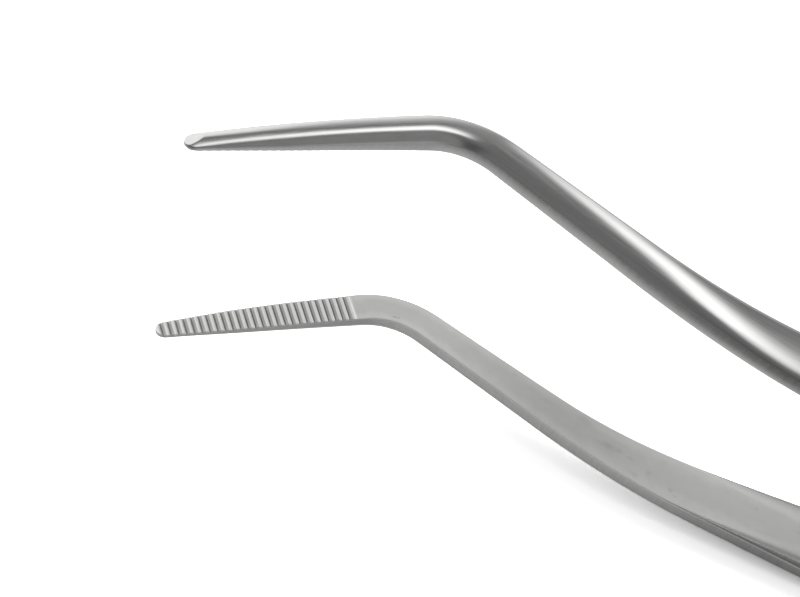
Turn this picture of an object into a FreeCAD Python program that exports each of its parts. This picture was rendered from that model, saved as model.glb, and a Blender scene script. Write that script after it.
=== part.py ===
import FreeCAD, Part
import os
from math import ceil, cos, degrees, radians, sin

os.makedirs("parts", exist_ok=True)

V = FreeCAD.Vector

# Tweezers of spring steel: two forged arms, mirror images of each other, welded together at the
# heel. Each arm is D shaped in section, with a flat inner face and a crowned outer one, and is
# bent edgewise at the knee, so that the serrated jaws point to one side.
# Lengths are in millimetres and angles in degrees. While the arms are modelled they meet on the
# plane z = 0, the handle runs from the heel at x = 0 towards -x, and the jaws lean to -y.

# The plan of an arm, seen on its flat face
JAW_LENGTH = 22.3
JAW_SWEEP = 4.0  # gentle curve of the whole jaw
KNEE_ANGLE = 52.8
KNEE_RADIUS = 8.6
NECK_LENGTH = 15.7
CONTRA_ANGLE = 15.2  # the neck leans back by this before the knee
CONTRA_RADIUS = 69.0

# The bow of an arm, seen on its edge
TIP_OPENING = 25.7  # between the flat faces at the tips
HEEL_LENGTH = 9.0  # where the arms are welded together
SPRING_RADIUS = 60.0
HANDLE_SLOPE = 8.5
BOW_LENGTH = 36.0
NECK_SLOPE = 2.9
FRONT_LENGTH = 33.9  # straight stretch between the bow and the knee
JAW_SLOPE = 0.95

# Lengths over which the section changes, from the tip towards the heel
MIDJAW_LENGTH = 10.0  # from the tip to the middle of the jaw
SLENDER_LENGTH = 17.8  # from the knee to the end of the slender neck
SHOULDER_LENGTH = 14.0
FLARE_LENGTH = 32.0
PALM_LENGTH = 14.0  # the handle at its full width

# Widths across the flat face
TIP_WIDTH = 1.7
JAW_WIDTH = 2.75
KNEE_WIDTH = 3.45
NECK_WIDTH = 4.3
SHOULDER_WIDTH = 5.8
HANDLE_WIDTH = 9.6
HEEL_WIDTH = 6.0

# Heights of the side walls
TIP_WALL = 0.32
KNEE_WALL = 1.05
NECK_WALL = 1.27
HANDLE_WALL = 1.5
HEEL_WALL = 1.0

# Heights of the crown above the side walls
TIP_CROWN = 0.14
KNEE_CROWN = 1.18
NECK_CROWN = 1.18
SHOULDER_CROWN = 0.92
HANDLE_CROWN = 1.0
HEEL_CROWN = 0.7

# Rounding of the two edges of the flat face
EDGE_BREAK = 0.08
HANDLE_ROLL_WIDTH = 2.2
HANDLE_ROLL_DEPTH = 0.85
HEEL_ROLL = 0.15

# Serrations across the flat face of the jaw
SERRATION_PITCH = 0.8
SERRATION_WIDTH = 0.52
SERRATION_DEPTH = 0.22
SERRATION_START = 0.7  # from the tip to the first groove
SERRATION_END = 0.6  # plain stretch left before the knee

# Grip grooves across the crown of the handle
GRIP_LEAD = 14.0  # the first one stands so far in front of the handle's full width
GRIP_LENGTH = 30.0
GRIP_PITCH = 1.5
GRIP_WIDTH = 0.7
GRIP_DEPTH = 0.28

CUTTER_MARGIN = 1.0  # how far a cutting tool stands out at the sides of the metal
GROOVE_MARGIN = 0.1  # and out of the mouth of a groove
SECTION_STEP = 2.0  # spacing of the sections that an arm's faces run through
CONTACT_STEP = 0.5  # spacing at which the resting arm's crown is searched

# How far the control points of a quarter of an ellipse, and of a half, stand from its ends
QUARTER_REACH = 0.5523
CROWN_SHOULDER = 0.873
CROWN_TOP = 1.503


def follow(chain, distance):
    """Place and heading, in degrees, after a distance along a chain of (length, turn) stretches."""
    forward = 0.0
    sideways = 0.0
    heading = 0.0
    for length, turn in chain:
        run = min(distance, length)
        bend = radians(turn * run / length)
        if bend:
            radius = run / bend
            forward += radius * (sin(heading + bend) - sin(heading))
            sideways += radius * (cos(heading) - cos(heading + bend))
        else:
            forward += run * cos(heading)
            sideways += run * sin(heading)
        heading += bend
        distance -= run
        if distance <= 0.0:
            break
    return forward, sideways, degrees(heading)


def chain_length(chain):
    return sum(length for length, turn in chain)


def smooth(knots, place):
    """Value at a place on the curve that joins (place, value) knots without overshooting."""
    gaps = [after[0] - before[0] for before, after in zip(knots, knots[1:])]
    rises = [after[1] - before[1] for before, after in zip(knots, knots[1:])]
    grades = [rise / gap for rise, gap in zip(rises, gaps)]
    slopes = [grades[0]]
    for before, after in zip(grades, grades[1:]):
        slopes.append(2.0 * before * after / (before + after) if before * after > 0.0 else 0.0)
    slopes.append(grades[-1])
    i = 0
    while i < len(gaps) - 1 and place > knots[i + 1][0]:
        i += 1
    t = (place - knots[i][0]) / gaps[i]
    start = gaps[i] * slopes[i]
    end = gaps[i] * slopes[i + 1]
    bulge = 3.0 * rises[i] - 2.0 * start - end
    twist = start + end - 2.0 * rises[i]
    return knots[i][1] + t * (start + t * (bulge + t * twist))


# Both chains run from the heel to the tip. The handle's straight stretch is as long as the
# opening of the tips asks for.
knee_length = KNEE_RADIUS * radians(KNEE_ANGLE)
spring_chain = [(HEEL_LENGTH, 0.0), (SPRING_RADIUS * radians(HANDLE_SLOPE), HANDLE_SLOPE)]
front_chain = [(BOW_LENGTH, NECK_SLOPE - HANDLE_SLOPE), (FRONT_LENGTH, 0.0),
               (knee_length, JAW_SLOPE - NECK_SLOPE), (JAW_LENGTH, 0.0)]
curved_chain = spring_chain + front_chain
curved_rise = follow(curved_chain, chain_length(curved_chain))[1]
straight_length = (TIP_OPENING / 2 - curved_rise) / sin(radians(HANDLE_SLOPE))
bow_chain = spring_chain + [(straight_length, 0.0)] + front_chain
arm_length = chain_length(bow_chain)

bent_chain = [(CONTRA_RADIUS * radians(CONTRA_ANGLE), -CONTRA_ANGLE), (NECK_LENGTH, 0.0),
              (knee_length, KNEE_ANGLE), (JAW_LENGTH, JAW_SWEEP)]
plan_length = follow(bow_chain, arm_length)[0]
plan_chain = [(plan_length - chain_length(bent_chain), 0.0)] + bent_chain

# Places along an arm, as distances from its tip
knee_place = JAW_LENGTH + knee_length / 2
neck_place = JAW_LENGTH + knee_length + SLENDER_LENGTH
shoulder_place = neck_place + SHOULDER_LENGTH
handle_place = shoulder_place + FLARE_LENGTH
palm_place = handle_place + PALM_LENGTH
weld_place = arm_length - HEEL_LENGTH

# The section's measures along an arm
widths = [(0.0, TIP_WIDTH), (MIDJAW_LENGTH, JAW_WIDTH), (knee_place, KNEE_WIDTH), (neck_place, NECK_WIDTH),
          (shoulder_place, SHOULDER_WIDTH), (handle_place, HANDLE_WIDTH), (palm_place, HANDLE_WIDTH),
          (arm_length, HEEL_WIDTH)]
walls = [(0.0, TIP_WALL), (knee_place, KNEE_WALL), (neck_place, NECK_WALL), (handle_place, HANDLE_WALL),
         (palm_place, HANDLE_WALL), (weld_place, HEEL_WALL), (arm_length, HEEL_WALL)]
crowns = [(0.0, TIP_CROWN), (knee_place, KNEE_CROWN), (neck_place, NECK_CROWN),
          (shoulder_place, SHOULDER_CROWN), (handle_place, HANDLE_CROWN), (palm_place, HANDLE_CROWN),
          (weld_place, HEEL_CROWN), (arm_length, HEEL_CROWN)]
roll_widths = [(0.0, EDGE_BREAK), (shoulder_place, EDGE_BREAK), (handle_place, HANDLE_ROLL_WIDTH),
               (palm_place, HANDLE_ROLL_WIDTH), (weld_place, HEEL_ROLL), (arm_length, HEEL_ROLL)]
roll_depths = [(0.0, EDGE_BREAK), (shoulder_place, EDGE_BREAK), (handle_place, HANDLE_ROLL_DEPTH),
               (palm_place, HANDLE_ROLL_DEPTH), (weld_place, HEEL_ROLL), (arm_length, HEEL_ROLL)]


class Station:
    """A section of the upper arm at a distance from its tip: its place, its frame and its measures."""

    def __init__(self, place):
        run, height, slope = follow(bow_chain, arm_length - place)
        forward, sideways, heading = follow(plan_chain, run)
        turn = radians(heading)
        rise = radians(slope)
        self.centre = V(-forward, -sideways, height)
        self.along = V(-cos(turn) * cos(rise), -sin(turn) * cos(rise), sin(rise))  # towards the tip
        self.across = V(sin(turn), -cos(turn), 0)  # towards the side that the jaws lean to
        self.out = self.along.cross(self.across)  # from the flat face towards the crown
        self.half = smooth(widths, place) / 2
        self.wall = smooth(walls, place)
        self.crown = smooth(crowns, place)
        self.roll_width = smooth(roll_widths, place)
        self.roll_depth = smooth(roll_depths, place)
        self.height = self.wall + self.crown

    def at(self, across, out, along=0.0):
        return self.centre + self.across * across + self.out * out + self.along * along

    def strips(self):
        """Control points round the section: flat face, rolled edge, wall, crown, wall, rolled edge."""
        half = self.half
        inner = half - self.roll_width
        corner = half - self.roll_width * (1 - QUARTER_REACH)
        depth = self.roll_depth
        bend = depth * (1 - QUARTER_REACH)
        wall = self.wall
        shoulder = wall + CROWN_SHOULDER * self.crown
        top = wall + CROWN_TOP * self.crown
        outline = [
            [(-inner, 0), (inner, 0)],
            [(inner, 0), (corner, 0), (half, bend), (half, depth)],
            [(half, depth), (half, wall)],
            [(half, wall), (half, shoulder), (0, top), (-half, shoulder), (-half, wall)],
            [(-half, wall), (-half, depth)],
            [(-half, depth), (-half, bend), (-corner, 0), (-inner, 0)],
        ]
        return [[self.at(across, out) for across, out in strip] for strip in outline]

    def groove(self, width, mouth, depth):
        """V-shaped bar across the arm: its mouth is at a height above the flat face, its floor deeper."""
        outward = GROOVE_MARGIN if depth < 0 else -GROOVE_MARGIN
        spread = width / 2 * (1 - outward / depth)
        reach = self.half + CUTTER_MARGIN
        points = [self.at(-reach, mouth + outward, -spread), self.at(-reach, mouth + depth),
                  self.at(-reach, mouth + outward, spread)]
        return Part.Face(Part.makePolygon(points + points[:1])).extrude(self.across * 2 * reach)


def skin(rows, places):
    """Face through rows of control points, one row for each section of the arm."""
    rails = []
    for column in zip(*rows):
        rail = Part.BSplineCurve()
        rail.interpolate(Points=list(column), Parameters=places)
        rails.append(rail)
    degree = len(rails) - 1
    surface = Part.BSplineSurface()
    surface.buildFromPolesMultsKnots([rail.getPoles() for rail in rails], [degree + 1, degree + 1],
                                     rails[0].getMultiplicities(), [0.0, 1.0], rails[0].getKnots(),
                                     False, False, degree, rails[0].Degree)
    return surface.toShape()


def end_face(strips):
    """Flat face inside a section's outline."""
    edges = []
    for points in strips:
        curve = Part.BezierCurve()
        curve.setPoles(points)
        edges.append(curve.toShape())
    return Part.Face(Part.Wire(edges))


def blank_arm():
    """The upper arm before its ends are rounded and its grooves are cut."""
    count = round(arm_length / SECTION_STEP)
    places = [i * arm_length / count for i in range(count + 1)]
    strips = [Station(place).strips() for place in places]
    faces = [skin(rows, places) for rows in zip(*strips)]
    hull = Part.makeCompound(faces + [end_face(strips[0]), end_face(strips[-1])])
    hull.sewShape()
    return Part.Solid(hull.Shells[0])


def end_cutter(station, outward):
    """What an arm's end loses to be a half round in plan, as wide as the arm."""
    radius = station.half
    reach = radius + CUTTER_MARGIN
    floor = station.at(0, -CUTTER_MARGIN)
    corners = [floor + station.across * side * reach + outward * end
               for side, end in ((-1, -radius), (1, -radius), (1, CUTTER_MARGIN), (-1, CUTTER_MARGIN))]
    depth = station.height + 2 * CUTTER_MARGIN
    block = Part.Face(Part.makePolygon(corners + corners[:1])).extrude(station.out * depth)
    return block.cut(Part.makeCylinder(radius, depth, floor - outward * radius, station.out))


def serration_cutters():
    """Grooves across the flat face of the jaw."""
    count = int((JAW_LENGTH - SERRATION_START - SERRATION_END) / SERRATION_PITCH) + 1
    stations = [Station(SERRATION_START + i * SERRATION_PITCH) for i in range(count)]
    return [station.groove(SERRATION_WIDTH, 0.0, SERRATION_DEPTH) for station in stations]


def grip_cutters():
    """Grooves across the crown of the handle."""
    count = int(GRIP_LENGTH / GRIP_PITCH) + 1
    stations = [Station(handle_place - GRIP_LEAD + i * GRIP_PITCH) for i in range(count)]
    return [station.groove(GRIP_WIDTH, station.height, -GRIP_DEPTH) for station in stations]


def make_arm():
    """The upper arm."""
    tip = Station(0.0)
    heel = Station(arm_length)
    ends = [end_cutter(tip, tip.along), end_cutter(heel, heel.along * -1)]
    return blank_arm().cut(ends + serration_cutters() + grip_cutters()).Solids[0]


def resting_turn(mass_centre):
    """Turn that lays the tweezers on the crown of its lower arm, as it comes to rest on a table.

    The arm rolls along its bow until it touches the table straight below the centre of mass, and
    to one side until its crown does the same across the handle.
    """
    count = ceil((arm_length - shoulder_place) / CONTACT_STEP)
    stations = [Station(shoulder_place + i * CONTACT_STEP) for i in range(count)]
    feet = [station.at(0, station.height) for station in stations]
    low = 0.0
    high = 2 * HANDLE_SLOPE
    while high - low > 0.01:
        tilt = radians((low + high) / 2)
        foot = max(feet, key=lambda point: point.z * cos(tilt) + point.x * sin(tilt))
        if foot.x * cos(tilt) - foot.z * sin(tilt) < mass_centre.x * cos(tilt):
            low = degrees(tilt)
        else:
            high = degrees(tilt)
    crown_radius = (HANDLE_WIDTH / 2) ** 2 / HANDLE_CROWN
    lean = degrees(mass_centre.y / (crown_radius - foot.z))
    return FreeCAD.Rotation(V(0, 1, 0), high).multiply(FreeCAD.Rotation(V(1, 0, 0), -lean))


upper_arm = make_arm()
lower_arm = upper_arm.mirror(V(0, 0, 0), V(0, 0, 1))

# The origin is on the table, below the middle of the tweezers as it lies there.
arm_centre = upper_arm.CenterOfMass
rest = FreeCAD.Placement(V(0, 0, 0), resting_turn(V(arm_centre.x, arm_centre.y, 0)))
pieces = {"upper_arm": upper_arm, "lower_arm": lower_arm}
for shape in pieces.values():
    shape.Placement = rest.multiply(shape.Placement)
box = Part.makeCompound(list(pieces.values())).optimalBoundingBox(False, False)
table_point = V(box.Center.x, box.Center.y, box.ZMin)
for name, shape in pieces.items():
    shape.translate(table_point * -1)
    shape.exportStep(f"parts/{name}.step")
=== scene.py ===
from math import cos, pi, radians, sin, sqrt, tan

import bpy
from bpy.props import FloatProperty, FloatVectorProperty, PointerProperty
from mathutils import Matrix, Vector


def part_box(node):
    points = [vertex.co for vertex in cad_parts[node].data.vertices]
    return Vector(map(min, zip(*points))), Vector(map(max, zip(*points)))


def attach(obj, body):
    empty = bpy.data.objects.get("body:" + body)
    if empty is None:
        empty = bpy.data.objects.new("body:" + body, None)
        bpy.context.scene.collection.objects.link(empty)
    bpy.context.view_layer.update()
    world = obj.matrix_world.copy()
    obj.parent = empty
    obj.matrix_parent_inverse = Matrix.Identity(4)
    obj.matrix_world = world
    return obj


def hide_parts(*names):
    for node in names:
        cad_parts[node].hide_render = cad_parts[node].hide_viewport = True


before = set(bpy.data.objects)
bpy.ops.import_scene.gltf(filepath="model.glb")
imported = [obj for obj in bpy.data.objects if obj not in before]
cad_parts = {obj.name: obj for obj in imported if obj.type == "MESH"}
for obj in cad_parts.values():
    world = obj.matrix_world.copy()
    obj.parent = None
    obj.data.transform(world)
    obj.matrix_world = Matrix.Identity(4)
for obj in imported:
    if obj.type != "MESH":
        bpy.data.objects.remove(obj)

bl_info = {
    "name": "Angled Tweezers",
    "version": (1, 0, 0),
    "blender": (4, 5, 0),
    "location": "View3D > Sidebar > Tweezers",
    "description": "Forged steel tweezers with serrated jaws, dressed over their packed solids",
    "category": "Add Mesh",
}

MM = 0.001
DEGREE = radians(1.0)
BODY = "root"
FIT_LIMIT = 0.15 * MM  # how far a finished arm's box may be from its solid's box
WALL_POLISH = 0.35  # between the matte flat face at 0 and the polished crown at 1


def millimetres(name, description, value):
    """Length property, stored in metres."""
    return FloatProperty(name=name, description=description, default=value * MM, unit="LENGTH", precision=5)


def angle(name, description, value):
    """Angle property, stored in radians."""
    return FloatProperty(name=name, description=description, default=radians(value), subtype="ANGLE")


def plain(name, description, value):
    """Property without a unit."""
    return FloatProperty(name=name, description=description, default=value)


def colour(name, description, value):
    """Colour property, linear."""
    return FloatVectorProperty(name=name, description=description, default=value, subtype="COLOR",
                               size=3, min=0.0, max=1.0)


def position(name, description, value):
    """Point property, in metres."""
    return FloatVectorProperty(name=name, description=description, default=value, subtype="TRANSLATION",
                               size=3, unit="LENGTH", precision=5)


class TweezersForm(bpy.types.PropertyGroup):
    """The plan and the bow of an arm, and how the tweezers lies."""

    jaw_length: millimetres("Jaw length", "Tip to knee", 22.3)
    jaw_sweep: angle("Jaw sweep", "Gentle curve of the whole jaw", 4.0)
    knee_angle: angle("Knee angle", "Sideways bend between neck and jaw", 52.8)
    knee_radius: millimetres("Knee radius", "Centre line of the knee", 8.6)
    neck_length: millimetres("Neck length", "Straight stretch before the knee", 15.7)
    contra_angle: angle("Contra angle", "The neck leans back by this before the knee", 15.2)
    contra_radius: millimetres("Contra radius", "Bend from the handle into the neck", 69.0)
    tip_opening: millimetres("Tip opening", "Between the flat faces at the tips", 25.7)
    heel_length: millimetres("Heel length", "Where the arms are welded together", 9.0)
    spring_radius: millimetres("Spring radius", "Bend where the arms part", 60.0)
    handle_slope: angle("Handle slope", "Of a handle against the middle plane", 8.5)
    bow_length: millimetres("Bow length", "Stretch that bends back to the neck", 36.0)
    neck_slope: angle("Neck slope", "Of a neck against the middle plane", 2.9)
    front_length: millimetres("Front length", "Straight stretch between bow and knee", 33.9)
    jaw_slope: angle("Jaw slope", "Of a jaw against the middle plane", 0.95)
    rest_tilt: angle("Rest tilt", "Nose-up turn of the tweezers as it lies on its lower arm", 7.487)
    rest_lean: angle("Rest lean", "Sideways turn as it lies", 2.333)


class TweezersSection(bpy.types.PropertyGroup):
    """The D shaped section of an arm, from its tip to its heel."""

    midjaw_length: millimetres("Middle of the jaw", "From the tip", 10.0)
    slender_length: millimetres("Slender neck", "From the knee", 17.8)
    shoulder_length: millimetres("Shoulder", "From the slender neck", 14.0)
    flare_length: millimetres("Flare", "From the shoulder to the full width", 32.0)
    palm_length: millimetres("Palm", "The handle at its full width", 14.0)
    tip_width: millimetres("Tip width", "Across the flat face", 1.7)
    jaw_width: millimetres("Jaw width", "Across the flat face", 2.75)
    knee_width: millimetres("Knee width", "Across the flat face", 3.45)
    neck_width: millimetres("Neck width", "Across the flat face", 4.3)
    shoulder_width: millimetres("Shoulder width", "Across the flat face", 5.8)
    handle_width: millimetres("Handle width", "Across the flat face", 9.6)
    heel_width: millimetres("Heel width", "Across the flat face", 6.0)
    tip_wall: millimetres("Tip wall", "Height of the side walls", 0.32)
    knee_wall: millimetres("Knee wall", "Height of the side walls", 1.05)
    neck_wall: millimetres("Neck wall", "Height of the side walls", 1.27)
    handle_wall: millimetres("Handle wall", "Height of the side walls", 1.5)
    heel_wall: millimetres("Heel wall", "Height of the side walls", 1.0)
    tip_crown: millimetres("Tip crown", "Height above the side walls", 0.14)
    knee_crown: millimetres("Knee crown", "Height above the side walls", 1.18)
    neck_crown: millimetres("Neck crown", "Height above the side walls", 1.18)
    shoulder_crown: millimetres("Shoulder crown", "Height above the side walls", 0.92)
    handle_crown: millimetres("Handle crown", "Height above the side walls", 1.0)
    heel_crown: millimetres("Heel crown", "Height above the side walls", 0.7)
    edge_break: millimetres("Edge break", "Rounding of the flat face's edges", 0.08)
    roll_width: millimetres("Roll width", "Rounding of the handle's flat face, across", 2.2)
    roll_depth: millimetres("Roll depth", "Rounding of the handle's flat face, down", 0.85)
    heel_roll: millimetres("Heel roll", "Rounding of the heel's edges", 0.15)


class TweezersGrooves(bpy.types.PropertyGroup):
    """The serrations of the jaws and the grip grooves of the handles."""

    serration_start: millimetres("First serration", "From the tip", 0.7)
    serration_end: millimetres("Plain end", "Left before the knee", 1.2)
    serration_pitch: millimetres("Serration pitch", "From groove to groove", 0.8)
    serration_width: millimetres("Serration width", "At the flat face", 0.52)
    serration_depth: millimetres("Serration depth", "Of the lower jaw, below the flat face", 0.16)
    upper_depth: millimetres("Upper serration depth", "Of the upper jaw, below the flat face", 0.07)
    grip_lead: millimetres("Grip lead", "In front of the handle's full width", 14.0)
    grip_length: millimetres("Grip length", "First groove to last", 30.0)
    grip_pitch: millimetres("Grip pitch", "From groove to groove", 1.5)
    grip_width: millimetres("Grip width", "At the top of the crown", 0.7)
    grip_depth: millimetres("Grip depth", "Below the top of the crown", 0.28)
    facet_height: millimetres("Facet height", "What is left of the metal at the very tip", 0.3)
    facet_slope: angle("Facet slope", "Of the ground facet on the tip's outer face", 14.0)
    facet_turn: angle("Facet turn", "Towards the side that the jaws lean away from", 39.0)


class TweezersFinish(bpy.types.PropertyGroup):
    """Colours and finish of the steel."""

    polished_colour: colour("Polished steel", "Crowned outer faces", (0.54, 0.54, 0.535))
    matte_colour: colour("Matte steel", "Flat inner faces", (0.548, 0.548, 0.538))
    # Worn edges, brightened as a painted highlight
    worn_glint_colour: colour("Worn steel", "Burnished edges and ridges", (0.80, 0.80, 0.79))
    # Painted shade deep in the jaw's grooves, on one flank of each
    groove_shade_colour: colour("Grime", "In the grooves of the jaws", (0.20, 0.20, 0.19))
    stain_colour: colour("Stain", "Dried stains on the lower arm's inner face", (0.36, 0.34, 0.30))
    polished_roughness: plain("Polished roughness", "Of the outer faces", 0.17)
    matte_roughness: plain("Matte roughness", "Of the inner faces", 0.5)
    edge_roughness: plain("Edge roughness", "Of the rolled edges and of the grooves", 0.22)
    # Painted highlight: the lands between the grooves brightened
    land_glint_colour: colour("Land steel", "Between the grooves of the jaws", (0.83, 0.83, 0.82))
    land_roughness: plain("Land roughness", "Of the faces between the grooves", 0.3)
    flank_round: angle("Flank round", "By how much the polishing has rounded a wall towards the crown", 25.0)
    front_round: plain("Front round", "Share of that in front of the handle", 0.5)
    lower_round: plain("Lower round", "Share of that on the lower arm", 0.4)
    land_round: angle("Land round", "By how much the faces between the grooves are rounded", 16.0)
    jaw_twist: angle("Jaw twist", "By how much a jaw's crown is polished down on its leaning side", 17.0)
    edge_band: millimetres("Edge band", "Width of the handle's edges over which it does", 3.0)
    edge_turn: angle("Edge turn", "By how much the handle's flat face turns down towards its edges", 22.0)
    # Painted light and shade on the flat face: brighter near the jaws and along its edges, darker in front of
    # the handle
    painted_light: plain("Burnish", "How much brighter the flat face is near the jaws", 1.33)
    painted_neck_shade: plain("Neck tone", "Brightness of the flat face in front of the handle", 0.84)
    edge_painted_light: plain("Edge burnish", "How much brighter it is along its edges", 1.12)
    # Painted shade: the lower jaw's walls darker than the upper's
    painted_wall_shade: plain("Wall tone", "Brightness of the lower jaw's walls", 0.7)
    grain_depth: millimetres("Grain depth", "Of the matte faces' blasted grain", 0.004)
    brush_depth: millimetres("Brush depth", "Of the fine marks that polishing left", 0.0012)


class TweezersStage(bpy.types.PropertyGroup):
    """Camera, floor and light. Directions in the tent are angles from straight overhead."""

    focal_length: plain("Focal length", "On the camera's sensor, in its own millimetres", 48.868)
    azimuth: angle("Azimuth", "Of the camera about the target", 12.286)
    elevation: angle("Elevation", "Of the camera above the target", 48.965)
    roll: angle("Roll", "Of the camera about its own axis", 10.927)
    distance: millimetres("Distance", "Camera to target", 111.573)
    target: position("Target", "Point that the camera looks at", (-0.055332, 0.002859, 0.012807))
    floor_radius: millimetres("Floor radius", "Of the round floor", 1600.0)
    floor_colour: plain("Floor colour", "Grey of the floor where it lights the metal", 0.85)
    floor_white: plain("Floor white", "Grey of the floor where the camera sees it", 2.0)
    # Painted shade on the floor as reflections show it: dim in front, and below the handle
    front_dim: millimetres("Front, dim", "Along Y, from where on reflections show the floor dim", -115.0)
    front_bright: millimetres("Front, bright", "Along Y, from where on they show it bright", -38.0)
    front_share: plain("Front share", "Share of the floor's brightness in front", 0.3)
    right_share: plain("Right share", "The same in front to the right", 0.75)
    end_bright: millimetres("End, bright", "Along X, up to where they show it bright", -27.0)
    end_dim: millimetres("End, dim", "Along X, from where on they show it dim", -10.0)
    end_share: plain("End share", "Share of the floor's brightness below the handle", 0.66)
    tent_radius: millimetres("Tent radius", "Of the grey tent", 1500.0)
    tent_light: plain("Tent light", "Brightness of the grey tent", 0.235)
    window_light: plain("Window light", "Brightness of the tent's left rear side", 1.2)
    side_light: plain("Side light", "Brightness of the tent's left side", 0.45)
    strip_light: plain("Strip light", "Brightness of the bright strip in the tent", 1.95)
    strip_right: angle("Strip right", "Direction of the strip overhead", 20.0)
    strip_lean: angle("Strip lean", "By how much the strip runs to the left towards the back", 8.0)
    strip_half: angle("Strip half width", "To half of the strip's brightness", 6.5)
    strip_soft: angle("Strip softness", "Over which the strip's edge fades", 4.5)
    room_light: plain("Room light", "Strength of the white room on what isn't metal", 0.6)
    lamp_direction: position("Lamp direction", "From the tweezers to the softbox", (0.41, 0.33, 0.74))
    lamp_size: millimetres("Lamp size", "Side of the square softbox", 900.0)
    lamp_power: plain("Lamp power", "Of the softbox, in watts", 5.0)


SCENE_GROUPS = {
    "tweezers_form": TweezersForm,
    "tweezers_section": TweezersSection,
    "tweezers_grooves": TweezersGrooves,
    "tweezers_finish": TweezersFinish,
    "tweezers_stage": TweezersStage,
}


# The line that an arm follows


def follow(chain, distance):
    """Place and heading after a distance along a chain of (length, turn) stretches."""
    forward = 0.0
    sideways = 0.0
    heading = 0.0
    for length, turn in chain:
        run = min(distance, length)
        bend = turn * run / length
        if bend:
            radius = run / bend
            forward += radius * (sin(heading + bend) - sin(heading))
            sideways += radius * (cos(heading) - cos(heading + bend))
        else:
            forward += run * cos(heading)
            sideways += run * sin(heading)
        heading += bend
        distance -= run
        if distance <= 0.0:
            break
    return forward, sideways, heading


def chain_length(chain):
    return sum(length for length, turn in chain)


def smooth(knots, place):
    """Value at a place on the curve that joins (place, value) knots without overshooting."""
    gaps = [after[0] - before[0] for before, after in zip(knots, knots[1:])]
    rises = [after[1] - before[1] for before, after in zip(knots, knots[1:])]
    grades = [rise / gap for rise, gap in zip(rises, gaps)]
    slopes = [grades[0]]
    for before, after in zip(grades, grades[1:]):
        slopes.append(2.0 * before * after / (before + after) if before * after > 0.0 else 0.0)
    slopes.append(grades[-1])
    i = 0
    while i < len(gaps) - 1 and place > knots[i + 1][0]:
        i += 1
    t = (place - knots[i][0]) / gaps[i]
    start = gaps[i] * slopes[i]
    end = gaps[i] * slopes[i + 1]
    bulge = 3.0 * rises[i] - 2.0 * start - end
    twist = start + end - 2.0 * rises[i]
    return knots[i][1] + t * (start + t * (bulge + t * twist))


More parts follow.
